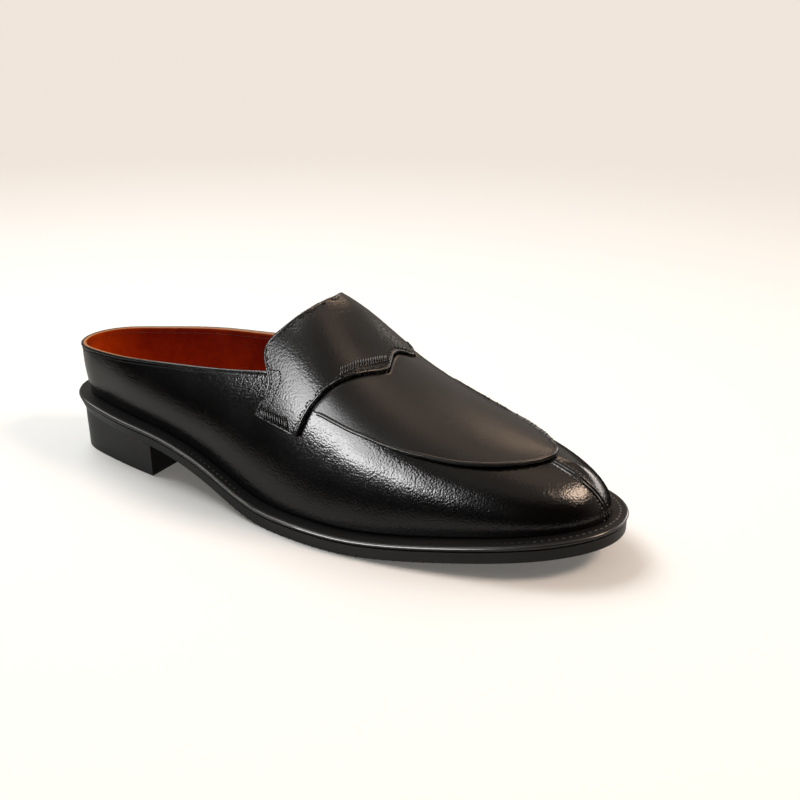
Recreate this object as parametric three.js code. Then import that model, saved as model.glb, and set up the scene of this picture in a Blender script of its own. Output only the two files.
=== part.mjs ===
// Mule loafer for the right foot: a welted leather upper with a saddle strap and a raised apron,
// open behind at a low collar, on a flat rubber sole with a low heel.
// Millimetres, +Z up, +X toward the toe, +Y toward the inner side of the foot.

import * as THREE from 'three';
import { mergeVertices } from 'three/addons/utils/BufferGeometryUtils.js';

// Driving dimensions
const SOLE_LENGTH = 302;
const HEEL_END_RADIUS = 25; // plan radius of the very back of the sole
const TOE_END_RADIUS = 28; // plan radius of the very tip of the toe
const HEEL_BREAST = 68; // from the back of the sole to the front face of the heel
const OUTSOLE = 4.9;
const WELT = 3;
const INSOLE = 3;
const UPPER_WALL = 2;
const GAP = 0.3; // clear space between pieces that touch
const PROUD_GAP = 0.4; // clear space under the apron and the strap
const WELT_UNDER_UPPER = 4.5; // how far the welt runs in under the wall of the upper
const INSOLE_CLEARANCE = 0.6; // between the insole and the wall round it
const APRON_PROUD = 1.6; // thickness of the apron over the wall of the upper
const STRAP_PROUD = 2.4; // thickness of the folded strap over the wall of the upper
const WELT_EASE = 0.9; // easing of the welt's outer edge
const HEEL_TAPER = 0.8; // how much narrower the heel is at the ground, each side

// Number of steps along each piece
const SOLE_STEPS = 56;
const HEEL_STEPS = 16;
const WELT_STEPS = 100;
const QUARTER_ROWS = 22;
const VAMP_ROWS = 30;
const WALL_COLUMNS_LOW = 7; // from the welt up to the collar
const WALL_COLUMNS_HIGH = 8; // from the collar up to the ridge of the instep
const STRAP_ROWS = 12;
const STRAP_COLUMNS = 14;
const APRON_ROWS = 22;
const APRON_COLUMNS = 10;

// Plan of the sole: where its middle lies and half its width
const SOLE_PLAN = [
  { x: 12, middle: 0.1, half: 21.6 },
  { x: 28, middle: 0.4, half: 27.9 },
  { x: 50, middle: 0.4, half: 33 },
  { x: 75, middle: -1, half: 35.6 },
  { x: 100, middle: -3.8, half: 37.1 },
  { x: 125, middle: -7.3, half: 39.6 },
  { x: 150, middle: -9.6, half: 43.2 },
  { x: 175, middle: -9.2, half: 47 },
  { x: 200, middle: -6.4, half: 49.2 },
  { x: 225, middle: -3.4, half: 48.2 },
  { x: 250, middle: -1.4, half: 44.4 },
  { x: 272, middle: -0.9, half: 37.2 },
  { x: 290, middle: -0.9, half: 25 },
];
const TOE_TIP_MIDDLE = -0.5;

// Underside of the outsole seen from the side: heel seat, waist, flat tread and toe spring
const UNDERSIDE = [
  { x: 0, z: 22.8, slope: -0.13 },
  { x: 40, z: 18.7, slope: -0.08 },
  { x: 74, z: 16.4, slope: -0.12 },
  { x: 108, z: 9.7, slope: -0.26 },
  { x: 150, z: 0, slope: 0 },
  { x: 184, z: 0, slope: 0 },
  { x: 230, z: 3.7, slope: 0.13 },
  { x: 302, z: 12.8, slope: 0.1 },
];

// Steps in from the edge of the welt to the outsole's lower edge and to the foot of the upper
const EDGE_STEPS = [
  { x: 0, outsole: 2.7, upper: 6 },
  { x: 30, outsole: 2.5, upper: 7.6 },
  { x: 75, outsole: 1.8, upper: 7.2 },
  { x: 110, outsole: 0.8, upper: 6.8 },
  { x: 150, outsole: 0.5, upper: 6.6 },
  { x: 200, outsole: 0.5, upper: 7.4 },
  { x: 260, outsole: 0.5, upper: 7.8 },
  { x: 302, outsole: 0.5, upper: 7 },
];
const OUTSOLE_TOP_STEP = 0.9; // in from the edge of the welt to the outsole's upper edge

// Ridge of the last: top of the cone at the back, then down the instep to the toe
const RIDGE = [
  { x: 16, y: 0, z: 92 },
  { x: 60, y: 0, z: 101 },
  { x: 105, y: 0, z: 106 },
  { x: 140, y: 0, z: 102.5 },
  { x: 163, y: 0, z: 94.2 },
  { x: 185, y: 0, z: 77.6 },
  { x: 205, y: 0, z: 64.6 },
  { x: 230, y: 0, z: 53.1 },
  { x: 255, y: 0, z: 45.9 },
  { x: 276, y: 0, z: 41.8 },
];

// Shape of a rib of the last, from the welt over to the ridge: how far it rises and spreads before it
// turns, as a share of its height and width, and how far its side bulges out over the welt
const RIBS = [
  { x: 0, rise: 0.5, spread: 0.9, bulgeOuter: 6, bulgeInner: 6 },
  { x: 50, rise: 0.5, spread: 0.85, bulgeOuter: 12, bulgeInner: 11 },
  { x: 110, rise: 0.5, spread: 0.75, bulgeOuter: 7, bulgeInner: 6 },
  { x: 150, rise: 0.46, spread: 0.8, bulgeOuter: 3, bulgeInner: 4 },
  { x: 200, rise: 0.45, spread: 1, bulgeOuter: 2, bulgeInner: 3 },
  { x: 250, rise: 0.45, spread: 1, bulgeOuter: 2, bulgeInner: 2 },
  { x: 275, rise: 0.45, spread: 0.85, bulgeOuter: 1.5, bulgeInner: 1.5 },
  { x: 302, rise: 0.38, spread: 0.45, bulgeOuter: 1, bulgeInner: 1 },
];

// Top line of the quarter behind the strap
const COLLAR = [
  { x: 0, z: 56.3 },
  { x: 20, z: 57.3 },
  { x: 45, z: 59.2 },
  { x: 75, z: 62.5 },
  { x: 110, z: 66.2 },
  { x: 145, z: 71.4 },
];

const TOE_COLUMN_SHARE = 0.4; // share of the toe's rib at which its columns change their spacing

// Saddle strap: share of the rib, and where its back and front edges cross ribs at that share
const STRAP_EDGES = [
  { rib: 0.32, back: 140.2, front: 165.7 },
  { rib: 0.36, back: 142.2, front: 167.2 },
  { rib: 0.4, back: 145, front: 168.8 },
  { rib: 0.44, back: 146.9, front: 170.3 },
  { rib: 0.475, back: 147.3, front: 171.9 },
  { rib: 0.505, back: 145.2, front: 173.5 },
  { rib: 0.54, back: 141.6, front: 175.5 },
  { rib: 0.57, back: 141.1, front: 177.1 },
  { rib: 0.61, back: 142.4, front: 179.3 },
  { rib: 0.67, back: 147, front: 183 },
  { rib: 0.77, back: 153.6, front: 190.1 },
  { rib: 0.84, back: 157.5, front: 196.2 },
  { rib: 0.9, back: 160.4, front: 201.4 },
  { rib: 0.95, back: 162.4, front: 200 },
  { rib: 1, back: 164, front: 199.6 },
];

// Ends of the strap: share of the rib at its back and front corners
const STRAP_END = { back: 0.325, front: 0.325 };

// Apron: where its seam crosses the ribs, from the strap to the tip on the ridge
const APRON_SEAM = [
  { x: 171, outer: 0.46, inner: 0.62 },
  { x: 190, outer: 0.508, inner: 0.64 },
  { x: 210, outer: 0.548, inner: 0.67 },
  { x: 235, outer: 0.61, inner: 0.71 },
  { x: 255, outer: 0.683, inner: 0.75 },
  { x: 275, outer: 0.795, inner: 0.83 },
  { x: 285, outer: 0.87, inner: 0.89 },
  { x: 293, outer: 1, inner: 1 },
];
const APRON_BEHIND_STRAP = 0.9; // clear space between the strap's front edge and the apron

// Natural cubic spline through a table's column; flat ends where the curve crosses a mirror line
function spline(rows, key, column, flatEnds = false) {
  const xs = rows.map((row) => row[key]);
  const ys = rows.map((row) => row[column]);
  const last = xs.length - 1;
  const width = (i) => xs[i + 1] - xs[i];
  const slope = (i) => (ys[i + 1] - ys[i]) / width(i);
  const lower = new Array(last + 1).fill(0);
  const diagonal = new Array(last + 1).fill(1);
  const upper = new Array(last + 1).fill(0);
  const right = new Array(last + 1).fill(0);
  for (let i = 1; i < last; i += 1) {
    lower[i] = width(i - 1);
    diagonal[i] = 2 * (width(i - 1) + width(i));
    upper[i] = width(i);
    right[i] = 6 * (slope(i) - slope(i - 1));
  }
  if (flatEnds) {
    diagonal[0] = 2 * width(0);
    upper[0] = width(0);
    right[0] = 6 * slope(0);
    lower[last] = width(last - 1);
    diagonal[last] = 2 * width(last - 1);
    right[last] = -6 * slope(last - 1);
  }
  for (let i = 1; i <= last; i += 1) {
    const share = lower[i] / diagonal[i - 1];
    diagonal[i] -= share * upper[i - 1];
    right[i] -= share * right[i - 1];
  }
  const bend = new Array(last + 1).fill(0);
  bend[last] = right[last] / diagonal[last];
  for (let i = last - 1; i >= 0; i -= 1) {
    bend[i] = (right[i] - upper[i] * bend[i + 1]) / diagonal[i];
  }
  return (x) => {
    let i = 0;
    while (i < last - 1 && x > xs[i + 1]) i += 1;
    const before = (xs[i + 1] - x) / width(i);
    const after = (x - xs[i]) / width(i);
    const curved = ((before ** 3 - before) * bend[i] + (after ** 3 - after) * bend[i + 1]) / 6;
    return before * ys[i] + after * ys[i + 1] + curved * width(i) ** 2;
  };
}

// Side-view line through knots with given slopes
function slopedLine(rows) {
  return (x) => {
    let i = 0;
    while (i < rows.length - 2 && x > rows[i + 1].x) i += 1;
    const from = rows[i];
    const to = rows[i + 1];
    const width = to.x - from.x;
    const t = THREE.MathUtils.clamp((x - from.x) / width, 0, 1);
    const blend = t * t * (3 - 2 * t);
    const leave = t * (1 - t) ** 2 * from.slope * width;
    const arrive = t * t * (t - 1) * to.slope * width;
    return from.z + (to.z - from.z) * blend + leave + arrive;
  };
}

// Station s runs from 0 at the back of the sole to 1 at the toe, close together at both round ends
const stationToX = (s) => (SOLE_LENGTH * (1 - Math.cos(Math.PI * s))) / 2;
const xToStation = (x) => Math.acos(THREE.MathUtils.clamp(1 - (2 * x) / SOLE_LENGTH, -1, 1)) / Math.PI;

const planRows = [
  { s: 0, middle: 0, fullness: Math.sqrt((HEEL_END_RADIUS * SOLE_LENGTH) / 2) },
  ...SOLE_PLAN.map((row) => {
    const s = xToStation(row.x);
    return { s, middle: row.middle, fullness: row.half / Math.sin(Math.PI * s) };
  }),
  { s: 1, middle: TOE_TIP_MIDDLE, fullness: Math.sqrt((TOE_END_RADIUS * SOLE_LENGTH) / 2) },
];
const planMiddle = spline(planRows, 's', 'middle', true);
const planFullness = spline(planRows, 's', 'fullness', true);
const underside = slopedLine(UNDERSIDE);
const outsoleStep = spline(EDGE_STEPS, 'x', 'outsole');
const upperStep = spline(EDGE_STEPS, 'x', 'upper');
const outsoleTop = (x) => underside(x) + OUTSOLE;
const weltBottom = (x) => outsoleTop(x) + GAP;
const weltTop = (x) => weltBottom(x) + WELT;

// Edge of the welt in plan; p runs -1 to 0 to 1: toe, outer side, back, inner side, toe
function planEdge(p) {
  const s = Math.abs(p);
  const half = Math.sin(Math.PI * p) * planFullness(s);
  return new THREE.Vector2(stationToX(s), planMiddle(s) + half);
}

// The same edge, a step further in
function planInset(p, step) {
  const small = 1e-4;
  const ahead = planEdge(p + small);
  const behind = planEdge(p - small);
  const outward = new THREE.Vector2(behind.y - ahead.y, ahead.x - behind.x).normalize();
  return planEdge(p).addScaledVector(outward, -step);
}

// Point on the plan's inset edge at the height a side-view line has there
function onLine(p, step, height) {
  const plan = planInset(p, step);
  return new THREE.Vector3(plan.x, plan.y, height(plan.x));
}

// Closed solid from rows of the same closed cross-section. A first or last row that shrinks to a line
// closes itself; a ring joins its last row to its first; a flat end is filled.
function loft(rows, { ring = false, flatEnd = false } = {}) {
  const positions = [];
  const add = (...corners) => corners.forEach((corner) => positions.push(corner.x, corner.y, corner.z));
  const count = rows[0].length;
  const last = rows.length - 1;
  const links = ring ? rows.length : last;
  for (let i = 0; i < links; i += 1) {
    const here = rows[i];
    const next = rows[(i + 1) % rows.length];
    for (let j = 0; j < count; j += 1) {
      const k = (j + 1) % count;
      add(here[j], next[j], next[k]);
      add(here[j], next[k], here[k]);
    }
  }
  if (flatEnd) {
    for (let j = 1; j < count - 1; j += 1) add(rows[last][0], rows[last][j + 1], rows[last][j]);
  }
  return solidGeometry(positions);
}

// Closed solid between two matching sheets. A patch is a grid of { over, under } points, null where
// there is no sheet; every edge that no neighbour shares gets a rim.
function sheetSolid(patches) {
  const positions = [];
  const add = (...corners) => corners.forEach((corner) => positions.push(corner.x, corner.y, corner.z));
  const key = ({ over }) => [over.x, over.y, over.z].map((value) => Math.round(value * 500)).join();
  const edges = new Map();
  patches.forEach(({ grid, flip }) => {
    for (let i = 0; i + 1 < grid.length; i += 1) {
      for (let j = 0; j + 1 < grid[i].length; j += 1) {
        const around = [grid[i][j], grid[i + 1][j], grid[i + 1][j + 1], grid[i][j + 1]];
        if (!around.includes(null)) {
          const corners = flip ? around.reverse() : around;
          const [a, b, c, d] = corners.map((corner) => corner.over);
          const [e, f, g, h] = corners.map((corner) => corner.under);
          add(a, b, c, a, c, d);
          add(e, g, f, e, h, g);
          corners.forEach((from, side) => {
            const to = corners[(side + 1) % 4];
            if (key(from) !== key(to)) edges.set(`${key(from)} ${key(to)}`, [from, to]);
          });
        }
      }
    }
  });
  edges.forEach(([from, to]) => {
    if (!edges.has(`${key(to)} ${key(from)}`)) {
      add(to.over, from.over, from.under);
      add(to.over, from.under, to.under);
    }
  });
  return solidGeometry(positions);
}

// Loose triangles to one outward-facing solid without zero-area triangles
function solidGeometry(positions) {
  const loose = new THREE.BufferGeometry();
  loose.setAttribute('position', new THREE.Float32BufferAttribute(positions, 3));
  const merged = mergeVertices(loose, 1e-3);
  const corners = merged.getAttribute('position');
  const kept = [];
  let volume = 0;
  const a = new THREE.Vector3();
  const b = new THREE.Vector3();
  const c = new THREE.Vector3();
  for (let i = 0; i < merged.index.count; i += 3) {
    const face = [0, 1, 2].map((corner) => merged.index.getX(i + corner));
    if (new Set(face).size === 3) {
      kept.push(face);
      a.fromBufferAttribute(corners, face[0]);
      b.fromBufferAttribute(corners, face[1]);
      c.fromBufferAttribute(corners, face[2]);
      volume += a.dot(b.cross(c)) / 6;
    }
  }
  const faces = volume > 0 ? kept : kept.map(([first, second, third]) => [first, third, second]);
  const solid = new THREE.BufferGeometry();
  solid.setAttribute('position', corners);
  solid.setIndex(faces.flat());
  solid.computeVertexNormals();
  return solid;
}

const ridgeSide = spline(RIDGE, 'x', 'y');
const ridgeHeight = spline(RIDGE, 'x', 'z');
const ribRise = spline(RIBS, 'x', 'rise');
const ribSpread = spline(RIBS, 'x', 'spread');
const bulgeOuter = spline(RIBS, 'x', 'bulgeOuter');
const bulgeInner = spline(RIBS, 'x', 'bulgeInner');
const collarHeight = spline(COLLAR, 'x', 'z');
const strapBack = spline(STRAP_EDGES, 'rib', 'back');
const strapFront = spline(STRAP_EDGES, 'rib', 'front');

// Where the rib at edge position p meets the ridge
function ridgePoint(p) {
  const first = RIDGE[0].x;
  const reach = RIDGE[RIDGE.length - 1].x - first;
  const x = first + (reach * stationToX(p)) / SOLE_LENGTH;
  return new THREE.Vector3(x, ridgeSide(x), ridgeHeight(x));
}

// Rise of the ridge line per millimetre toward the toe
const ridgeSlope = (x) => ridgeHeight(x + 0.5) - ridgeHeight(x - 0.5);

// Outer surface of the upper: rib at edge position p, share t of the way from the welt to the ridge
function lastPoint(p, t) {
  const station = stationToX(p);
  const foot = onLine(p, upperStep(station), (x) => weltTop(x) + GAP);
  const top = ridgePoint(p);
  const outward = new THREE.Vector3(foot.x - top.x, foot.y - top.y, 0);
  const width = outward.length();
  outward.normalize();
  const bulge = Math.sin(Math.PI * p) < 0 ? bulgeOuter(station) : bulgeInner(station);
  const low = foot.clone().addScaledVector(outward, bulge);
  low.z += ribRise(station) * (top.z - foot.z);
  const high = top.clone().addScaledVector(outward, ribSpread(station) * width);
  high.z += ribSpread(station) * width * ridgeSlope(top.x) * outward.x;
  const u = 1 - t;
  return foot
    .multiplyScalar(u ** 3)
    .addScaledVector(low, 3 * u * u * t)
    .addScaledVector(high, 3 * u * t * t)
    .addScaledVector(top, t ** 3);
}

// Outward normal of that surface; on the ridge it is square to the ridge line
function lastNormal(p, t) {
  if (t > 0.9999) return new THREE.Vector3(-ridgeSlope(ridgePoint(p).x), 0, 1).normalize();
  const small = 1e-3;
  const along = lastPoint(p + small, t).sub(lastPoint(p - small, t));
  const up = lastPoint(p, Math.min(t + small, 1)).sub(lastPoint(p, Math.max(t - small, 0)));
  return up.cross(along).normalize();
}

// Point of the surface moved out along its normal
const proud = (p, t, distance) => lastPoint(p, t).addScaledVector(lastNormal(p, t), distance);

// Share of a rib at which it reaches the collar line
function collarShare(p) {
  let low = 0;
  let high = 1;
  for (let i = 0; i < 30; i += 1) {
    const middle = (low + high) / 2;
    const point = lastPoint(p, middle);
    if (point.z < collarHeight(point.x)) low = middle;
    else high = middle;
  }
  return (low + high) / 2;
}

// Where the collar meets the back edge of the strap
function collarJunction(side) {
  let station = 0.45;
  let share = 0;
  for (let i = 0; i < 20; i += 1) {
    share = collarShare(side * station);
    station = xToStation(strapBack(share));
  }
  return { station, share };
}

// The apron is laid out in even turns of a quarter circle, so that its tip comes out round
const apronStart = APRON_SEAM[0].x;
const apronLength = APRON_SEAM[APRON_SEAM.length - 1].x - apronStart;
const apronRows = APRON_SEAM.map(({ x, outer, inner }) => {
  return { turn: Math.asin((x - apronStart) / apronLength), outer, inner };
});
const seamOuter = spline(apronRows, 'turn', 'outer');
const seamInner = spline(apronRows, 'turn', 'inner');

const SIDES = [-1, 1]; // outer, inner
const even = (count) => Array.from({ length: count + 1 }, (_, i) => i / count);
const mix = (from, to, share) => from + (to - from) * share;

// Sole: outsole of even thickness and a heel block with a straight breast
function outsoleGeometry() {
  const rows = even(SOLE_STEPS).map((s) => {
    const step = outsoleStep(stationToX(s));
    return [
      onLine(-s, step, underside),
      onLine(s, step, underside),
      onLine(s, OUTSOLE_TOP_STEP, outsoleTop),
      onLine(-s, OUTSOLE_TOP_STEP, outsoleTop),
    ];
  });
  return loft(rows);
}

function heelGeometry() {
  const rows = even(HEEL_STEPS).map((share) => {
    const s = share * xToStation(HEEL_BREAST);
    const step = outsoleStep(stationToX(s));
    const corners = [
      onLine(-s, step + HEEL_TAPER, () => 0),
      onLine(s, step + HEEL_TAPER, () => 0),
      onLine(s, step, (x) => underside(x) - GAP),
      onLine(-s, step, (x) => underside(x) - GAP),
    ];
    if (share === 1) corners.forEach((corner) => corner.setX(HEEL_BREAST));
    return corners;
  });
  return loft(rows, { flatEnd: true });
}

// Welt: flat strip all round with an eased outer edge
function weltGeometry() {
  const rows = even(WELT_STEPS).slice(0, -1).map((share) => {
    const p = 2 * share - 1;
    const inner = upperStep(stationToX(p)) + UPPER_WALL + WELT_UNDER_UPPER;
    return [
      onLine(p, WELT_EASE, weltBottom),
      onLine(p, 0, (x) => weltBottom(x) + WELT_EASE),
      onLine(p, 0, (x) => weltTop(x) - WELT_EASE),
      onLine(p, WELT_EASE, weltTop),
      onLine(p, inner, weltTop),
      onLine(p, inner, weltBottom),
    ];
  });
  return loft(rows, { ring: true });
}

// Insole: a board inside the upper, with the filling under it that closes the space within the welt
function insoleGeometry() {
  const boardBottom = (x) => weltTop(x) + GAP;
  const boardTop = (x) => boardBottom(x) + INSOLE;
  const fillingBottom = (x) => outsoleTop(x) + GAP;
  const rows = even(SOLE_STEPS).map((s) => {
    const board = upperStep(stationToX(s)) + UPPER_WALL + INSOLE_CLEARANCE;
    const filling = upperStep(stationToX(s)) + UPPER_WALL + WELT_UNDER_UPPER + INSOLE_CLEARANCE;
    return [
      onLine(-s, board, boardTop),
      onLine(s, board, boardTop),
      onLine(s, board, boardBottom),
      onLine(s, filling, boardBottom),
      onLine(s, filling, fillingBottom),
      onLine(-s, filling, fillingBottom),
      onLine(-s, filling, boardBottom),
      onLine(-s, board, boardBottom),
    ];
  });
  return loft(rows);
}

// Upper: low quarter up to the collar behind the throat, full vamp in front of it, as one hollow wall
function upperGeometry() {
  const wall = (p, t) => {
    const over = lastPoint(p, t);
    const inward = lastNormal(p, t).negate();
    if (t === 0) inward.setZ(0).normalize();
    return { over, under: over.clone().addScaledVector(inward, UPPER_WALL) };
  };
  const patches = SIDES.map((side) => {
    const junction = collarJunction(side);
    const columns = [
      ...even(WALL_COLUMNS_LOW).map((share) => ({ low: share, high: 0 })),
      ...even(WALL_COLUMNS_HIGH).slice(1).map((share) => ({ low: 1, high: share })),
    ];
    const quarter = even(QUARTER_ROWS).slice(0, -1).map((along) => columns.map(({ low, high }) => {
      const p = side * along * junction.station;
      return high > 0 ? null : wall(p, low * collarShare(p));
    }));
    const vamp = even(VAMP_ROWS).map((along) => columns.map(({ low, high }) => {
      const start = xToStation(strapBack(mix(junction.share, 1, high)));
      const level = mix(junction.share, TOE_COLUMN_SHARE, along);
      return wall(side * mix(start, 1, along), mix(low * level, 1, high));
    }));
    return { grid: [...quarter, ...vamp], flip: side > 0 };
  });
  return sheetSolid(patches);
}

// Saddle strap: folded leather over the instep, its back edge on the throat, its ends half way down
function strapGeometry() {
  const patches = SIDES.map((side) => {
    const grid = even(STRAP_ROWS).map((across) => even(STRAP_COLUMNS).map((up) => {
      const t = mix(mix(STRAP_END.back, STRAP_END.front, across), 1, up);
      const p = side * xToStation(mix(strapBack(t), strapFront(t), across));
      return { over: proud(p, t, PROUD_GAP + STRAP_PROUD), under: proud(p, t, PROUD_GAP) };
    }));
    return { grid, flip: side > 0 };
  });
  return sheetSolid(patches);
}

// Apron: plug over the top of the vamp from the strap to its rounded tip
function apronGeometry() {
  const patches = SIDES.map((side) => {
    const seam = side < 0 ? seamOuter : seamInner;
    const grid = even(APRON_ROWS).map((along) => even(APRON_COLUMNS).map((up) => {
      const turn = (Math.PI / 2) * along;
      const t = mix(seam(turn), 1, up);
      const back = strapFront(t) + APRON_BEHIND_STRAP;
      const p = side * xToStation(mix(back, apronStart + apronLength, Math.sin(turn)));
      return { over: proud(p, t, PROUD_GAP + APRON_PROUD), under: proud(p, t, PROUD_GAP) };
    }));
    return { grid, flip: side > 0 };
  });
  return sheetSolid(patches);
}

const PIECES = [
  { name: 'outsole', geometry: outsoleGeometry(), color: 0x0c0b0b, roughness: 0.5 },
  { name: 'heel', geometry: heelGeometry(), color: 0x0c0b0b, roughness: 0.45 },
  { name: 'welt', geometry: weltGeometry(), color: 0x11100f, roughness: 0.45 },
  { name: 'insole', geometry: insoleGeometry(), color: 0x8a3d17, roughness: 0.85 },
  { name: 'upper', geometry: upperGeometry(), color: 0x121110, roughness: 0.4 },
  { name: 'saddle_strap', geometry: strapGeometry(), color: 0x141312, roughness: 0.4 },
  { name: 'apron', geometry: apronGeometry(), color: 0x161412, roughness: 0.42 },
];

const group = new THREE.Group();
group.name = 'mule_shoe';
PIECES.forEach(({ name, geometry, color, roughness }) => {
  const mesh = new THREE.Mesh(geometry, new THREE.MeshStandardMaterial({ color, roughness, metalness: 0 }));
  mesh.name = name;
  group.add(mesh);
});

// Origin under the middle of the shoe, on the ground
const box = new THREE.Box3().setFromObject(group);
const middle = box.getCenter(new THREE.Vector3());
group.position.set(-middle.x, -middle.y, -box.min.z);
group.updateMatrixWorld(true);

export default group;
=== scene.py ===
import math

import bmesh
import bpy
from mathutils import Matrix, Vector
from mathutils.bvhtree import BVHTree


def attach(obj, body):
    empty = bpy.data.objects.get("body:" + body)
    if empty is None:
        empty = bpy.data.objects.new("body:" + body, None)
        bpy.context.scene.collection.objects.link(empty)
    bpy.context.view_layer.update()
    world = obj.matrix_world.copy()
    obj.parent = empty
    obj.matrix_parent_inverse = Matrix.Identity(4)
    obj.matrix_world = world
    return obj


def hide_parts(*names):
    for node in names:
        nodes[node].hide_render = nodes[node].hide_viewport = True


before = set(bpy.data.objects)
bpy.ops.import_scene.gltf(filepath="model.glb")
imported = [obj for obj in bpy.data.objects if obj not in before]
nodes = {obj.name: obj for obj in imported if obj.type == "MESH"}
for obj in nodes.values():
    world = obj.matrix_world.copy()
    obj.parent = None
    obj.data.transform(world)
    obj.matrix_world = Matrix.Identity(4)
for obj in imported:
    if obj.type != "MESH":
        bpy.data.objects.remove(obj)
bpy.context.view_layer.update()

# Heel: a stacked leather heel with a straight breast, nailed up from below and trimmed
# flush with the sole. Its side is sanded, inked black and burnished with wax, so heel and
# sole read as one satin band.
MM = 0.001
HEEL_SEAT = 0.29 * MM
SCRATCH = (3.0 * MM, 0.22 * MM, 0.12 * MM)


def linear(colour):
    # An sRGB hex colour as linear red, green, blue and alpha.
    channels = [int(colour[i:i + 2], 16) / 255 for i in (1, 3, 5)]
    return [c / 12.92 if c <= 0.04045 else ((c + 0.055) / 1.055) ** 2.4 for c in channels] + [1.0]


def add(tree, kind, inputs=None, **settings):
    node = tree.nodes.new(kind)
    for name, value in settings.items():
        setattr(node, name, value)
    for name, value in (inputs or {}).items():
        if isinstance(value, bpy.types.NodeSocket):
            tree.links.new(value, node.inputs[name])
        else:
            node.inputs[name].default_value = value
    return node


def start_material(name, **values):
    material = bpy.data.materials.new(name)
    material.use_nodes = True
    tree = material.node_tree
    shader = tree.nodes["Principled BSDF"]
    for socket, value in values.items():
        shader.inputs[socket.replace("_", " ")].default_value = value
    position = add(tree, "ShaderNodeTexCoord").outputs["Object"]
    return material, tree, shader, position


def tint(tree, shader, factor, dark, light):
    ramp = add(tree, "ShaderNodeMix", {"Factor": factor}, data_type="RGBA")
    ramp.inputs[6].default_value = linear(dark)
    ramp.inputs[7].default_value = linear(light)
    tree.links.new(ramp.outputs[2], shader.inputs["Base Color"])


def spread(tree, factor, low, high):
    return add(tree, "ShaderNodeMapRange", {"Value": factor, "To Min": low, "To Max": high}).outputs[0]


def raise_grain(tree, shader, height, depth, strength=1.0):
    bump = add(tree, "ShaderNodeBump", {"Height": height, "Distance": depth, "Strength": strength})
    tree.links.new(bump.outputs[0], shader.inputs["Normal"])
    return bump


def inked_edge(name):
    # Burnished leather edge: a satin black side with the faint level streaks of the
    # sanding belt and slow changes in the wax.
    material, tree, shader, position = start_material(name, IOR=1.5)
    flat = add(tree, "ShaderNodeMapping", {"Vector": position, "Scale": (60, 60, 900)}).outputs[0]
    streaks = add(tree, "ShaderNodeTexNoise", {"Vector": flat, "Scale": 1.0, "Detail": 3.0}).outputs["Fac"]
    wax = add(tree, "ShaderNodeTexNoise", {"Vector": position, "Scale": 45.0, "Detail": 4.0}).outputs["Fac"]
    shader.inputs["Specular IOR Level"].default_value = 0.35
    tint(tree, shader, wax, "#050403", "#0e0c0a")
    tree.links.new(spread(tree, wax, 0.3, 0.42), shader.inputs["Roughness"])
    raise_grain(tree, shader, streaks, 0.00004, 0.5)
    return material


def merged(node):
    # The solid's loose triangles, joined into quads that subdivide evenly.
    shape = bmesh.new()
    shape.from_mesh(node.data)
    bmesh.ops.remove_doubles(shape, verts=shape.verts, dist=1e-5)
    bmesh.ops.join_triangles(shape, faces=shape.faces, angle_face_threshold=math.radians(35),
                             angle_shape_threshold=math.radians(75))
    return shape


def is_sharp(edge, angle=50):
    return len(edge.link_faces) == 2 and edge.calc_face_angle() > math.radians(angle)


def crease(shape, value, angle=50):
    # Edges sharper than the angle stay crisp when the piece is subdivided.
    layer = shape.edges.layers.float.new("crease_edge")
    for edge in shape.edges:
        if is_sharp(edge, angle):
            edge[layer] = value
            edge.smooth = value < 0.88


def make_piece(shape, name, materials, stands_for=(), levels=2):
    mesh = bpy.data.meshes.new(name)
    for face in shape.faces:
        face.smooth = True
    shape.to_mesh(mesh)
    shape.free()
    if "custom_normal" in mesh.attributes:
        mesh.attributes.remove(mesh.attributes["custom_normal"])
    piece = bpy.data.objects.new(name, mesh)
    bpy.context.scene.collection.objects.link(piece)
    for material in materials:
        mesh.materials.append(material)
    if levels:
        rounding = piece.modifiers.new("rounding", "SUBSURF")
        rounding.levels = levels
        rounding.render_levels = levels
    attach(piece, "root")
    if stands_for:
        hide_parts(*stands_for)
    return piece


def skin_of(piece):
    return BVHTree.FromObject(piece, bpy.context.evaluated_depsgraph_get())


def on_skin(skin, point):
    place, normal, _, _ = skin.find_nearest(point)
    return place, normal


def place_at(x, y, z):
    # x runs from the back of the heel to the toe, y to the inner side, z up from the ground.
    return Vector((x - 151, y + 5.804, z)) * MM


def stretched_beads(shape, places, size, sides=6, rings=4):
    # One small drawn-out bead for each place, which is a point, a direction along the bead
    # and the way out of the surface. The size is its length, width and height.
    for point, along, out in places:
        across = out.cross(along).normalized()
        along = across.cross(out).normalized()
        frame_of = Matrix((along, across, out)).transposed().to_4x4()
        stretch = Matrix.Diagonal((*size, 1))
        bmesh.ops.create_uvsphere(shape, u_segments=sides, v_segments=rings, radius=0.5,
                                  matrix=Matrix.Translation(point) @ frame_of @ stretch)


def bead_piece(name, places, size, material):
    shape = bmesh.new()
    stretched_beads(shape, places, size)
    make_piece(shape, name, [material], levels=0)


heel_edge = inked_edge("inked_heel_edge")
shape = merged(nodes["heel"])
for vert in shape.verts:
    if any(f.normal.z > 0.7 for f in vert.link_faces):
        vert.co.z += HEEL_SEAT
crease(shape, 1.0, 35)
heel = make_piece(shape, "stacked_heel", [heel_edge], ["heel"])

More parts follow.
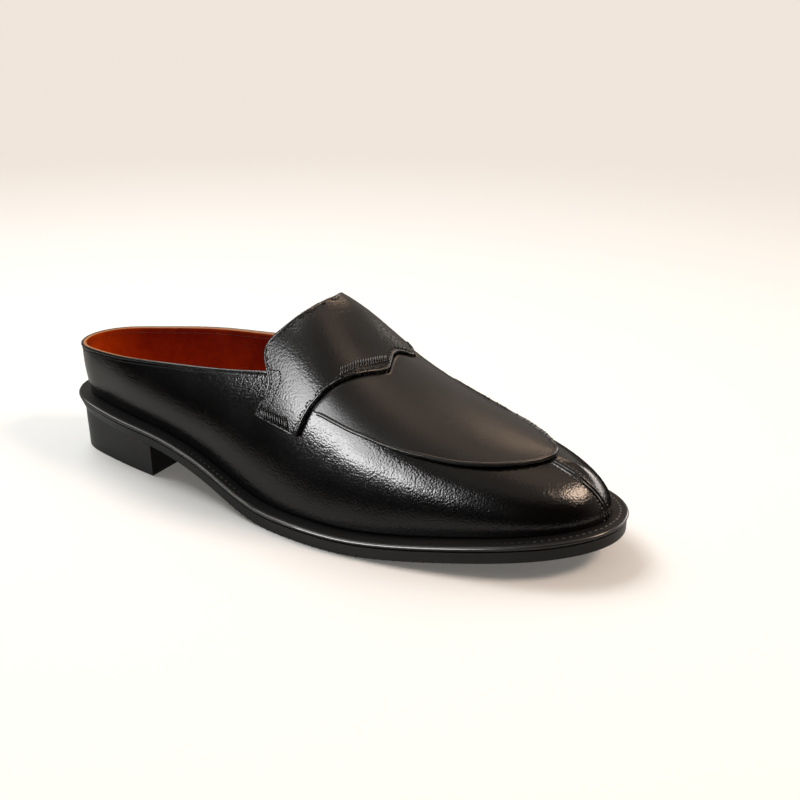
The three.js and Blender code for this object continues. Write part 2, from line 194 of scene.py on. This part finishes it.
# Ink scraped off the heel: a dull pale grey hair line that catches the eye on the black.
scratched, tree, shader, position = start_material("scratched_ink", Roughness=0.6, IOR=1.45)
bare = add(tree, "ShaderNodeTexNoise", {"Vector": position, "Scale": 1400.0}).outputs["Fac"]
tint(tree, shader, bare, "#3a3733", "#8f8a82")
spot, out = on_skin(skin_of(heel), place_at(60.5, -32.4, 20.2))
bead_piece("heel_scratch", [(spot, Vector((0.45, 0, 0.9)), out)], SCRATCH, scratched)

# Outsole: one bend of sole leather, pre-shaped to the spring of the last, stitched up
# through the welt. Its edge is inked with the heel, and fine tread cuts reach the side
# under the ball of the foot.
CUT_PITCH = 4.4 * MM
CUT_FROM, CUT_TO = -28 * MM, 96 * MM
CUT_ABOVE_GROUND = 0.35 * MM
CUT = (0.9 * MM, 1.3 * MM, 0.5 * MM)
FLUSH = 0.45 * MM

outsole_edge = inked_edge("inked_sole_edge")
shape = merged(nodes["outsole"])


def edge_runs(shape, wanted):
    # The wanted edges, walked from end to end as lists of points.
    links = {}
    for edge in shape.edges:
        if wanted(edge):
            for vert in edge.verts:
                links.setdefault(vert, []).append(edge)
    runs, used = [], set()
    for start in sorted(links, key=lambda v: (len(links[v]) == 2, v.co.x)):
        if any(edge not in used for edge in links[start]):
            run, here = [start.co.copy()], start
            while True:
                ahead = [edge for edge in links[here] if edge not in used]
                if not ahead:
                    break
                used.add(ahead[0])
                here = ahead[0].other_vert(here)
                run.append(here.co.copy())
            runs.append(run)
    return runs


def run_length(run):
    return sum((b - a).length for a, b in zip(run, run[1:]))


def longest(runs):
    return max(runs, key=run_length)


def even(run, pitch, passes=3):
    # The same line with points a pitch apart, eased by a few passes of averaging.
    closed = (run[0] - run[-1]).length < 1e-6
    count = max(3, round(run_length(run) / pitch))
    step = run_length(run) / count
    points, reached, wanted = [run[0].copy()], 0.0, step
    for a, b in zip(run, run[1:]):
        span = (b - a).length
        while wanted <= reached + span + 1e-9 and len(points) <= count:
            points.append(a.lerp(b, (wanted - reached) / span))
            wanted += step
        reached += span
    for _ in range(passes):
        last = len(points) - 1
        ahead = [points[i] for i in range(1, last + 1)] + [points[1] if closed else points[last]]
        behind = [points[last - 1] if closed else points[0]] + [points[i] for i in range(last)]
        points = [(a + b + 2 * p) / 4 for a, b, p in zip(ahead, behind, points)]
    return points


def outer_foot(edge):
    tops = sorted(face.normal.z for face in edge.link_faces)
    return is_sharp(edge, 35) and tops[0] < -0.7 and abs(tops[1]) < 0.6


def outer_top(edge):
    tops = sorted(face.normal.z for face in edge.link_faces)
    return is_sharp(edge, 35) and tops[1] > 0.7 and abs(tops[0]) < 0.6


def trim_side(shape, rim, sideways, lift):
    # Moves one rim of a sole layer out, so that the layers read as one trimmed edge.
    moves = {}
    for edge in shape.edges:
        if rim(edge):
            side = min((face.normal for face in edge.link_faces), key=lambda n: abs(n.z))
            for vert in edge.verts:
                moves.setdefault(vert, Vector()).x += side.x
                moves[vert].y += side.y
    for vert, side in moves.items():
        vert.co += side.normalized() * sideways + Vector((0, 0, lift))


tread_line = even(longest(edge_runs(shape, outer_foot)), CUT_PITCH, 0)
trim_side(shape, outer_top, FLUSH, HEEL_SEAT)
crease(shape, 1.0, 35)
make_piece(shape, "outsole_bend", [outsole_edge], ["outsole"])

# Painted shade of the tread cuts: flat black beads laid on the lower edge stand in for the unlit leather
# inside the cuts, so the edge looks nicked.
cut_dark, tree, shader, position = start_material("tread_cut_shadow", Roughness=0.9, IOR=1.4)
cut_shade_speckle = add(tree, "ShaderNodeTexNoise", {"Vector": position, "Scale": 900.0}).outputs["Fac"]
tint(tree, shader, cut_shade_speckle, "#020202", "#070606")

cuts = []
for before, here, after in zip(tread_line, tread_line[1:], tread_line[2:]):
    if CUT_FROM < here.x < CUT_TO:
        along = (after - before).normalized()
        cuts.append((here + Vector((0, 0, CUT_ABOVE_GROUND)), along, along.cross(Vector((0, 0, 1)))))
bead_piece("tread_cut_painted_shade", cuts, CUT, cut_dark)

# Welt: a strip of leather sewn round the foot of the upper and stitched down to the sole.
# Its ledge is inked dull black and wheeled, and its top edge is trimmed to a rounded,
# polished bead that runs the whole way round.
LEDGE_STITCH = 3.2 * MM
LEDGE_THREAD = (2.3 * MM, 1.3 * MM, 1.1 * MM)
LEDGE_STITCH_FROM_EDGE = 3.3 * MM
LEDGE_STITCH_LIFT = 0.1 * MM
WAIST = -64 * MM
BEAD, BEAD_IN, BEAD_DOWN = 1.0 * MM, 0.75 * MM, 0.45 * MM

shape = merged(nodes["welt"])
welt_rim = even(longest(edge_runs(shape, outer_top)), 1.6 * MM, 2)
trim_side(shape, outer_foot, -FLUSH, 0)
crease(shape, 0.9, 35)
# Inked and wheeled leather: dull, slightly rough black, which lets the stitches show.
ledge_black, tree, shader, position = start_material("inked_ledge", IOR=1.45)
fuzz = add(tree, "ShaderNodeTexNoise", {"Vector": position, "Scale": 700.0, "Detail": 4.0}).outputs["Fac"]
shader.inputs["Specular IOR Level"].default_value = 0.2
tint(tree, shader, fuzz, "#030202", "#0a0807")
tree.links.new(spread(tree, fuzz, 0.5, 0.68), shader.inputs["Roughness"])
raise_grain(tree, shader, fuzz, 0.00025, 0.7)
for face in shape.faces:
    face.material_index = 1 if face.normal.z > 0.7 else 0
make_piece(shape, "welt_strip", [outsole_edge, ledge_black], ["welt"])


def tangents(points):
    ends = [points[0]] + list(points) + [points[-1]]
    return [(c - a).normalized() for a, c in zip(ends, ends[2:])]


def inset(skin, points, distance, test=3 * MM):
    # Points moved in from the rim of a piece, along its skin.
    laid = []
    for point, along in zip(points, tangents(points)):
        place, normal = on_skin(skin, point)
        side = normal.cross(along).normalized()
        gaps = [(on_skin(skin, point + side * s * test)[0] - point - side * s * test).length for s in (1, -1)]
        side = side if gaps[0] < gaps[1] else -side
        laid.append(on_skin(skin, point + side * distance))
    return laid


def cord(name, runs, radius, materials, sides=2):
    # A round rim, fold or roll of leather laid along one or more lines.
    curve = bpy.data.curves.new(name, "CURVE")
    curve.dimensions = "3D"
    curve.bevel_depth = radius
    curve.bevel_resolution = sides
    curve.use_fill_caps = True
    for run in runs:
        closed = (run[0] - run[-1]).length < 0.5 * MM
        line = curve.splines.new("POLY")
        points = run[:-1] if closed else run
        line.points.add(len(points) - 1)
        for knot, point in zip(line.points, points):
            knot.co = (*point, 1)
        line.use_cyclic_u = closed
    holder = bpy.data.objects.new(name, curve)
    bpy.context.scene.collection.objects.link(holder)
    shape = bmesh.new()
    tube = holder.evaluated_get(bpy.context.evaluated_depsgraph_get())
    shape.from_mesh(bpy.data.meshes.new_from_object(tube))
    bpy.data.objects.remove(holder)
    return make_piece(shape, name, materials, levels=0)


middle = sum(welt_rim, Vector()) / len(welt_rim)
bead_line, stitch_line = [], []
for point, along in zip(welt_rim, tangents(welt_rim)):
    inward = Vector((0, 0, 1)).cross(along)
    inward = inward if inward.dot(middle - point) > 0 else -inward
    bead_line.append(point + inward * BEAD_IN - Vector((0, 0, BEAD_DOWN)))
    stitch_line.append(point + inward * LEDGE_STITCH_FROM_EDGE + Vector((0, 0, LEDGE_STITCH_LIFT)))
# Edge ink ironed with hot wax: the bead takes a glaze and draws one thin bright line.
polished = inked_edge("polished_bead")
polished.node_tree.nodes["Principled BSDF"].inputs["Coat Weight"].default_value = 0.8
polished.node_tree.nodes["Principled BSDF"].inputs["Coat Roughness"].default_value = 0.12
cord("welt_bead", [bead_line], BEAD, [polished])

# Waxed linen thread: black on the shoe, but coloured a mottled dark grey-brown here, a painted highlight so
# that each stitch shows as the pale speck its glint makes.
waxed_thread, tree, shader, position = start_material("waxed_black_thread", IOR=1.48)
twist = add(tree, "ShaderNodeTexNoise", {"Vector": position, "Scale": 1500.0}).outputs["Fac"]
tint(tree, shader, twist, "#1f1c1a", "#4f4942")
tree.links.new(spread(tree, twist, 0.35, 0.55), shader.inputs["Roughness"])
raise_grain(tree, shader, twist, 0.0001, 0.5)


def stitch_places(laid, pitch, lift):
    points = [place for place, _ in laid]
    steps = max(1, round(pitch * (len(points) - 1) / run_length(points)))
    found = []
    for (place, normal), along in list(zip(laid, tangents(points)))[::steps]:
        found.append((place + normal * lift, along, normal))
    return found


front_ledge = [p for p in stitch_line if p.x > WAIST]
start = max(range(len(front_ledge)), key=lambda i: (front_ledge[i] - front_ledge[i - 1]).length)
front_ledge = front_ledge[start:] + front_ledge[:start]
up = Vector((0, 0, 1))
ledge_row = stitch_places([(point, up) for point in front_ledge], LEDGE_STITCH, 0.15 * MM)
bead_piece("ledge_stitches", ledge_row, LEDGE_THREAD, waxed_thread)

# Insole: a leather board moulded to the foot and covered with a glued sock of the same
# brushed lining leather as the walls.
# Rust-dyed suede: fully matt, with the cloudy light and dark of a brushed nap.
lining_suede, tree, shader, position = start_material("rust_suede", Roughness=0.95, IOR=1.4)
shader.inputs["Sheen Weight"].default_value = 0.02
shader.inputs["Sheen Roughness"].default_value = 0.5
shader.inputs["Sheen Tint"].default_value = linear("#e08a50")
nap = add(tree, "ShaderNodeTexNoise", {"Vector": position, "Scale": 1200.0, "Detail": 3.0}).outputs["Fac"]
clouds = add(tree, "ShaderNodeTexNoise", {"Vector": position, "Scale": 70.0, "Detail": 6.0,
                                           "Roughness": 0.65}).outputs["Fac"]
patches = spread(tree, clouds, -0.6, 1.6)
shader.inputs["Specular IOR Level"].default_value = 0.03
tint(tree, shader, patches, "#952d04", "#c04a0c")
raise_grain(tree, shader, nap, 0.0002, 0.6)

shape = merged(nodes["insole"])
crease(shape, 0.9, 35)
make_piece(shape, "insole_and_sock", [lining_suede], ["insole"], levels=1)

# Upper: black full-grain calf, lasted over the toe and closed at the heel, lined with
# rust suede. The collar is folded over a tape and stitched 2 mm below its edge, and the
# lining is trimmed flush so that its pale cut edge shows.
FOLD = 0.75 * MM
COLLAR_STITCH_DOWN = 2.6 * MM
COLLAR_STITCH = 1.9 * MM
COLLAR_THREAD = (1.45 * MM, 0.6 * MM, 0.5 * MM)
LINING_STITCH_DOWN = 2.7 * MM
LINING_THREAD = (1.3 * MM, 0.5 * MM, 0.4 * MM)


def calf(name, grain=0.85 * MM, relief=0.00011, low=0.16, high=0.22):
    # Full-grain calf: nearly black, semi-gloss, with the fine pebble that breaks up its
    # highlights and a slow unevenness from the lasting. The grain is given in metres.
    material, tree, shader, position = start_material(name, IOR=1.5)
    bend = add(tree, "ShaderNodeTexNoise", {"Vector": position, "Scale": 260.0, "Detail": 2.0}).outputs[1]
    shift = add(tree, "ShaderNodeVectorMath", {0: bend, 1: (0.0012, 0.0012, 0.0012)}, operation="MULTIPLY")
    moved = add(tree, "ShaderNodeVectorMath", {0: position, 1: shift.outputs[0]}, operation="ADD").outputs[0]
    pebble = add(tree, "ShaderNodeTexVoronoi", {"Vector": moved, "Scale": 1 / grain}, feature="SMOOTH_F1")
    pores = add(tree, "ShaderNodeTexNoise", {"Vector": position, "Scale": 1600.0, "Detail": 2.0}).outputs[0]
    slow = add(tree, "ShaderNodeTexNoise", {"Vector": position, "Scale": 55.0, "Detail": 2.0}).outputs["Fac"]
    both = add(tree, "ShaderNodeMath", {0: pebble.outputs[0], 1: -0.9}, operation="MULTIPLY").outputs[0]
    both = add(tree, "ShaderNodeMath", {0: pores, 1: 0.35, 2: both}, operation="MULTIPLY_ADD").outputs[0]
    both = add(tree, "ShaderNodeMath", {0: slow, 1: both}, operation="ADD").outputs[0]
    tint(tree, shader, slow, "#030202", "#0b0908")
    tree.links.new(spread(tree, slow, low, high), shader.inputs["Roughness"])
    raise_grain(tree, shader, both, relief, 0.8)
    return material


def soften(shape, folds):
    # Soft troughs and ridges along short lines: start, end, half width and depth, a ridge
    # having its depth below zero.
    for vert in shape.verts:
        for start, end, width, depth in folds:
            line = end - start
            share = min(1, max(0, (vert.co - start).dot(line) / line.length_squared))
            gap = (vert.co - start - line * share).length / width
            vert.co -= Vector((0, math.copysign(1, vert.co.y), 0)) * depth * math.exp(-gap * gap)


black_calf = calf("black_calf")
# Raw cut edge of the lining: tan fibres, a thin pale line round the collar.
cut_edge, tree, shader, position = start_material("pale_cut_edge", Roughness=0.85, IOR=1.4)
fibre = add(tree, "ShaderNodeTexNoise", {"Vector": position, "Scale": 1100.0, "Detail": 3.0}).outputs["Fac"]
tint(tree, shader, fibre, "#8e5226", "#c08850")
raise_grain(tree, shader, fibre, 0.0002, 0.5)

shape = merged(nodes["upper"])
rims = [run for run in edge_runs(shape, is_sharp) if run_length(run) > 150 * MM]
collar_rims = sorted((run for run in rims if max(p.z for p in run) > 60 * MM), key=run_length)
inner_rim, outer_rim = collar_rims[0], collar_rims[-1]
# The lining is every face that looks in at the middle of the foot.
heel_middle, toe_middle = place_at(40, -1, 32), place_at(250, -7, 26)
middle_line = toe_middle - heel_middle
for face in shape.faces:
    centre = face.calc_center_median()
    share = min(1, max(0, (centre - heel_middle).dot(middle_line) / middle_line.length_squared))
    if sum(is_sharp(edge) for edge in face.edges) >= 2:
        face.material_index = 2 if centre.z > 40 * MM else 0
    elif face.normal.dot(centre - heel_middle - middle_line * share) < 0:
        face.material_index = 1
soften(shape, [(place_at(186, -47, 44), place_at(181, -50, 20), 6 * MM, 0.35 * MM),
               (place_at(198, -46, 40), place_at(196, -49, 20), 5 * MM, -0.3 * MM),
               (place_at(210, -45, 38), place_at(206, -48, 22), 6 * MM, 0.3 * MM),
               (place_at(196, 30, 44), place_at(190, 37, 20), 6 * MM, 0.35 * MM),
               (place_at(95, -35, 58), place_at(135, -44, 50), 8 * MM, 0.4 * MM)])
crease(shape, 0.85)
upper = make_piece(shape, "lasted_upper", [black_calf, lining_suede, cut_edge], ["upper"])
upper_skin = skin_of(upper)

fold_line = even(outer_rim, 1.6 * MM, 2)
cord("folded_collar_edge", [[p - Vector((0, 0, 0.5 * MM)) for p in fold_line]], FOLD, [black_calf])


def below(skin, points, centre_pull, down):
    laid = []
    for point in points:
        out = Vector((point.x - 0.02, point.y, 0)).normalized() * centre_pull
        laid.append(on_skin(skin, point + out - Vector((0, 0, down))))
    return laid


def thread(name, dark, light, roughness):
    # Fine polyester sewing thread: softly shiny, a shade off the leather it is sewn through.
    material, tree, shader, position = start_material(name, Roughness=roughness, IOR=1.48,
                                                      Specular_IOR_Level=0.25)
    twist = add(tree, "ShaderNodeTexNoise", {"Vector": position, "Scale": 1800.0}).outputs["Fac"]
    tint(tree, shader, twist, dark, light)
    return material


black_thread = thread("fine_black_thread", "#070605", "#181513", 0.4)
rust_thread = thread("rust_thread", "#4e1e08", "#7a3c18", 0.7)

STRAP_BACK = -10 * MM
fold_dense = [p for p in even(outer_rim, COLLAR_STITCH, 2) if p.x < STRAP_BACK]
collar_seam = below(upper_skin, fold_dense, 2 * MM, COLLAR_STITCH_DOWN)
collar_row = stitch_places(collar_seam, COLLAR_STITCH, 0.05 * MM)
bead_piece("collar_stitches", collar_row, COLLAR_THREAD, black_thread)
lining_dense = [p for p in even(inner_rim, COLLAR_STITCH, 2) if p.x < STRAP_BACK]
lining_seam = below(upper_skin, lining_dense, -2 * MM, LINING_STITCH_DOWN)
lining_row = stitch_places(lining_seam, COLLAR_STITCH, 0.02 * MM)
bead_piece("lining_stitches", lining_row, LINING_THREAD, rust_thread)

# Saddle strap: a saddle of the same calf over the instep, its edges folded in and
# topstitched. Short pinched pleats are pressed across its lower end and beside the notch,
# about 1 mm apart on the shoe, and drawn 1.4 mm apart here so that they show.
STRAP_FOLD, STRAP_FOLD_IN, STRAP_FOLD_DOWN = 0.8 * MM, 0.65 * MM, 0.35 * MM
STRAP_STITCH, STRAP_STITCH_IN = 2.2 * MM, 2.3 * MM
STRAP_THREAD = (1.5 * MM, 0.75 * MM, 0.9 * MM)
PLEAT_PITCH, PLEAT_LIFT = 1.4 * MM, 0.2 * MM
LOWER_PLEAT = (7.0 * MM, 0.8 * MM, 1.7 * MM)
NOTCH_PLEAT = (5.4 * MM, 0.8 * MM, 1.5 * MM)
TAB_STITCH = 1.6 * MM
TAB_THREAD = (1.3 * MM, 0.75 * MM, 0.9 * MM)


def outer_rim_of(shape, base):
    # The line where the proud top of an overlay turns down to the leather under it.
    outside = set()
    for face in shape.faces:
        centre = face.calc_center_median()
        if face.normal.dot((centre - on_skin(base, centre)[0]).normalized()) > 0.75:
            outside.add(face)
    return longest(edge_runs(shape, lambda edge: len(outside.intersection(edge.link_faces)) == 1))


shape = merged(nodes["saddle_strap"])
strap_rim = outer_rim_of(shape, upper_skin)
crease(shape, 0.7)
strap_calf = calf("strap_calf", 0.95 * MM, 0.00012, 0.22, 0.3)
strap = make_piece(shape, "saddle_strap_leather", [strap_calf], ["saddle_strap"])
strap_skin = skin_of(strap)
strap_line = even(strap_rim, 1.1 * MM, 2)
fold = [place - normal * STRAP_FOLD_DOWN for place, normal in inset(strap_skin, strap_line, STRAP_FOLD_IN)]
cord("strap_folded_edge", [even(fold, 1.0 * MM, 4)], STRAP_FOLD, [strap_calf])
seam = even([place for place, _ in inset(strap_skin, strap_line, STRAP_STITCH_IN)], 1.1 * MM, 4)
strap_row = stitch_places([on_skin(strap_skin, point) for point in seam], STRAP_STITCH, 0.1 * MM)
bead_piece("strap_stitches", strap_row, STRAP_THREAD, black_thread)


def pleat_places(path, slant):
    laid = [on_skin(strap_skin, point) for point in even(path, PLEAT_PITCH, 1)]
    return [(place + normal * PLEAT_LIFT, Vector(slant), normal) for place, normal in laid]


lower_row = [place_at(146, -45.3, 54.5), place_at(154, -46.7, 53.7), place_at(161.5, -47.8, 52.8)]
notch_row = [place_at(179.7, -33, 76), place_at(182, -28.4, 77.3), place_at(184.4, -23.6, 77.9),
             place_at(186.7, -18.7, 77.7), place_at(190, -9.5, 77.1)]
pleats = bmesh.new()
stretched_beads(pleats, pleat_places(lower_row, (-0.3, 0.22, 0.93)), LOWER_PLEAT)
stretched_beads(pleats, pleat_places(notch_row, (-0.42, 0.73, 0.55)), NOTCH_PLEAT)
make_piece(pleats, "strap_pleats", [strap_calf], levels=0)

tab_path = [place_at(146.5, -39.6, 73.3), place_at(153, -39.9, 74), place_at(154.3, -41.5, 70.3),
            place_at(152.7, -43.4, 65), place_at(150.8, -44.8, 59.4), place_at(147.5, -45.4, 55)]
tab_line = [on_skin(strap_skin, point) for point in even(tab_path, TAB_STITCH, 1)]
tab_row = stitch_places(tab_line, TAB_STITCH, 0.05 * MM)
bead_piece("strap_tab_stitches", tab_row, TAB_THREAD, black_thread)

# Apron: a plate of calf set into the vamp, its rim turned down and drawn up with the vamp
# into a thin raised roll that runs down both sides and meets over the toe.
INNER_SIDE = 10 * MM
ROLL, ROLL_IN, ROLL_DOWN = 1.05 * MM, 0.5 * MM, 0.05 * MM
BEHIND_STRAP = 2.4 * MM
WHIP = (2.3 * MM, 0.7 * MM, 1.5 * MM)

shape = merged(nodes["apron"])
apron_rim = outer_rim_of(shape, upper_skin)
crease(shape, 0.6)
apron_calf = calf("apron_calf", 0.8 * MM, 0.00006, 0.3, 0.38)
apron = make_piece(shape, "apron_plate", [apron_calf], ["apron"])
apron_skin = skin_of(apron)
roll_line = [p for p in even(apron_rim, 1.2 * MM, 2) if strap_skin.find_nearest(p)[3] > BEHIND_STRAP]
start = max(range(len(roll_line)), key=lambda i: (roll_line[i] - roll_line[i - 1]).length)
roll_line = roll_line[start:] + roll_line[:start]
roll_laid = inset(apron_skin, roll_line, ROLL_IN)
roll = [place - normal * ROLL_DOWN for place, normal in roll_laid]
cord("apron_roll", [even(roll, 1.2 * MM, 6)], ROLL, [apron_calf])
whips = []
for (place, normal), along in list(zip(roll_laid, tangents(roll_line)))[::2]:
    if place.y > INNER_SIDE:
        side = along.cross(normal)
        whips.append((place + normal * 0.35 * MM, (side + along * 0.3).normalized(), normal))
bead_piece("apron_whip_stitches", whips, WHIP, black_thread)

# Split toe: the two vamp quarters meet in a raised hand-sewn seam down the middle of the
# toe, stitched on both sides, with small gathers where it reaches the welt.
LIP, LIP_OUT, LIP_DOWN = 0.9 * MM, 0.9 * MM, 0.2 * MM
TOE_STITCH_OUT = 2.1 * MM
TOE_THREAD = (1.5 * MM, 0.75 * MM, 0.8 * MM)

toe_path = [place_at(270, -5.5, 44), place_at(276, -6.5, 42), place_at(283, -6.5, 39),
            place_at(289, -5.5, 33), place_at(293, -4.5, 27), place_at(296, -3.5, 19)]
toe_line = [on_skin(upper_skin, p) for p in even(toe_path, 1.0 * MM, 3)]
toe_points = [place for place, _ in toe_line]
lips, rows = [], []
for side_sign in (1, -1):
    lip = []
    for (place, normal), along in zip(toe_line, tangents(toe_points)):
        side = along.cross(normal).normalized() * side_sign
        lip.append(place + side * LIP_OUT - normal * LIP_DOWN)
        rows.append((place + side * TOE_STITCH_OUT, along))
    lips.append(lip)
cord("split_toe_lips", lips, LIP, [black_calf])
toe_rows = []
for place, along in rows[::2]:
    spot, normal = on_skin(upper_skin, place)
    toe_rows.append((spot + normal * 0.05 * MM, along, normal))
bead_piece("split_toe_stitches", toe_rows, TOE_THREAD, waxed_thread)

# Stand: a pale seamless table that runs out into warm haze. Softboxes that only the
# leather mirrors draw its highlights, a key and a warm toe lamp light the table, and
# black flags keep the far table out of the leather.
HAZE = 0.871

table_top = bmesh.new()
bmesh.ops.create_grid(table_top, x_segments=8, y_segments=8, size=9.0,
                      matrix=Matrix.Translation((0, 0, -0.0002)))
table_mesh = bpy.data.meshes.new("pale_table")
table_top.to_mesh(table_mesh)
table_top.free()
table = bpy.data.objects.new("pale_table", table_mesh)
bpy.context.scene.collection.objects.link(table)
# Seamless paper: plain warm white and matt, with a faint painted glow of its own that lifts the shadows on
# it, running out into evenly glowing haze with no edge or horizon to see.
paper, tree, shader, position = start_material("seamless_paper", Roughness=0.7)
tooth = add(tree, "ShaderNodeTexNoise", {"Vector": position, "Scale": 3.0}).outputs["Fac"]
tint(tree, shader, tooth, "#eef2f4", "#f1f5f7")
shader.inputs["Specular IOR Level"].default_value = 0.1
shader.inputs["Emission Color"].default_value = linear("#fffaf3")
shader.inputs["Emission Strength"].default_value = 0.12
away = add(tree, "ShaderNodeVectorMath", {0: position}, operation="LENGTH").outputs["Value"]
far = add(tree, "ShaderNodeMapRange", {"Value": away, "From Min": 0.05, "From Max": 1.15},
          interpolation_type="SMOOTHSTEP").outputs[0]
haze = add(tree, "ShaderNodeEmission", {"Color": linear("#fff4e9"), "Strength": HAZE}).outputs[0]
swept = add(tree, "ShaderNodeMixShader", {0: far, 1: shader.outputs[0], 2: haze}).outputs[0]
near = add(tree, "ShaderNodeMapping", {"Vector": position, "Scale": (0.2, 1, 1)}).outputs[0]
near = add(tree, "ShaderNodeVectorMath", {0: near}, operation="LENGTH").outputs["Value"]
fade = add(tree, "ShaderNodeMapRange", {"Value": near, "From Min": 0.066, "From Max": 0.095, "To Min": 0.5},
           interpolation_type="SMOOTHSTEP").outputs[0]
# The flags: the leather mirrors only the table close round the sole, and dimly.
mirrored = add(tree, "ShaderNodeLightPath").outputs["Is Glossy Ray"]
flag = add(tree, "ShaderNodeMath", {0: fade, 1: mirrored}, operation="MULTIPLY").outputs[0]
black_flag = add(tree, "ShaderNodeEmission", {"Strength": 0.0}).outputs[0]
flagged = add(tree, "ShaderNodeMixShader", {0: flag, 1: swept, 2: black_flag}).outputs[0]
tree.links.new(flagged, tree.nodes["Material Output"].inputs["Surface"])
table_mesh.materials.append(paper)

world = bpy.data.worlds.new("studio")
world.use_nodes = True
bpy.context.scene.world = world
tree = world.node_tree
direction = add(tree, "ShaderNodeTexCoord").outputs["Generated"]
parts = add(tree, "ShaderNodeSeparateXYZ", {0: direction})
behind = add(tree, "ShaderNodeMapRange", {"Value": parts.outputs["Y"], "From Min": -0.1, "From Max": 0.5,
                                           "To Min": 0.02, "To Max": 0.36}).outputs[0]
ceiling = add(tree, "ShaderNodeMapRange", {"Value": parts.outputs["Z"], "From Min": 0.55, "From Max": 0.85,
                                            "To Max": 0.38}).outputs[0]
behind = add(tree, "ShaderNodeMath", {0: behind, 1: ceiling}, operation="MAXIMUM").outputs[0]
seen = add(tree, "ShaderNodeLightPath").outputs["Is Camera Ray"]
strength = add(tree, "ShaderNodeMix", {"Factor": seen, 2: behind, 3: HAZE}, data_type="FLOAT").outputs[0]
background = tree.nodes["Background"]
background.inputs["Color"].default_value = linear("#fff4e9")
tree.links.new(strength, background.inputs["Strength"])


def softbox(name, azimuth, elevation, distance, size, radiance, colour, lights_table=True):
    # Azimuth runs from the outer side round to the toe, in degrees.
    light = bpy.data.lights.new(name, "AREA")
    light.shape = "RECTANGLE"
    light.size, light.size_y = size
    light.energy = radiance * math.pi * size[0] * size[1]
    light.color = linear(colour)[:3]
    lamp = bpy.data.objects.new(name, light)
    bpy.context.scene.collection.objects.link(lamp)
    a, e = math.radians(azimuth), math.radians(elevation)
    away = Vector((math.sin(a) * math.cos(e), -math.cos(a) * math.cos(e), math.sin(e)))
    aim = Vector((0.03, 0, 0.05))
    turned = away.to_track_quat("Z", "Y").to_matrix().to_4x4()
    lamp.matrix_world = Matrix.Translation(aim + away * distance) @ turned
    lamp.visible_camera = False
    lamp.visible_diffuse = lights_table


softbox("outer_softbox", -19, 18.5, 2.0, (1.65, 1.2), 12.5, "#ffffff", False)
softbox("low_strip", -19, 7.5, 1.9, (1.5, 0.36), 10.0, "#ffffff", False)
softbox("warm_wall", -164, 39, 2.0, (0.7, 0.5), 4.8, "#ffd9b8", False)
softbox("warm_ceiling", 142, 67, 2.0, (1.1, 0.9), 0.6, "#ffd9b8", False)
softbox("inner_softbox", 150, 15, 2.0, (1.8, 0.5), 6.0, "#fff6ec", False)
softbox("key", -105, 52, 2.0, (1.6, 1.2), 5.6, "#fffdfa")
softbox("toe_lamp", 105, 45, 2.2, (0.7, 0.55), 21.0, "#ffe0c8")

# Camera: the three-quarter view from the toe end of the outer side, a little above.
azimuth, elevation, roll_angle = math.radians(30.24), math.radians(21.265), math.radians(-0.27)
back = Vector((math.sin(azimuth) * math.cos(elevation), -math.cos(azimuth) * math.cos(elevation),
               math.sin(elevation)))
right = Vector((math.cos(azimuth), math.sin(azimuth), 0))
above = back.cross(right)
turned_right = right * math.cos(roll_angle) + above * math.sin(roll_angle)
turned_up = above * math.cos(roll_angle) - right * math.sin(roll_angle)
lens = bpy.data.cameras.new("camera")
lens.sensor_width = 36
lens.lens = 50.08
lens.shift_x = 0.0571
lens.clip_start = 0.01
camera = bpy.data.objects.new("camera", lens)
bpy.context.scene.collection.objects.link(camera)
facing = Matrix((turned_right, turned_up, back)).transposed().to_4x4()
camera.matrix_world = Matrix.Translation(Vector((-0.05545, 0.12955, -0.00635)) + back * 0.68218) @ facing
bpy.context.scene.camera = camera
bpy.context.scene.view_settings.view_transform = "Standard"
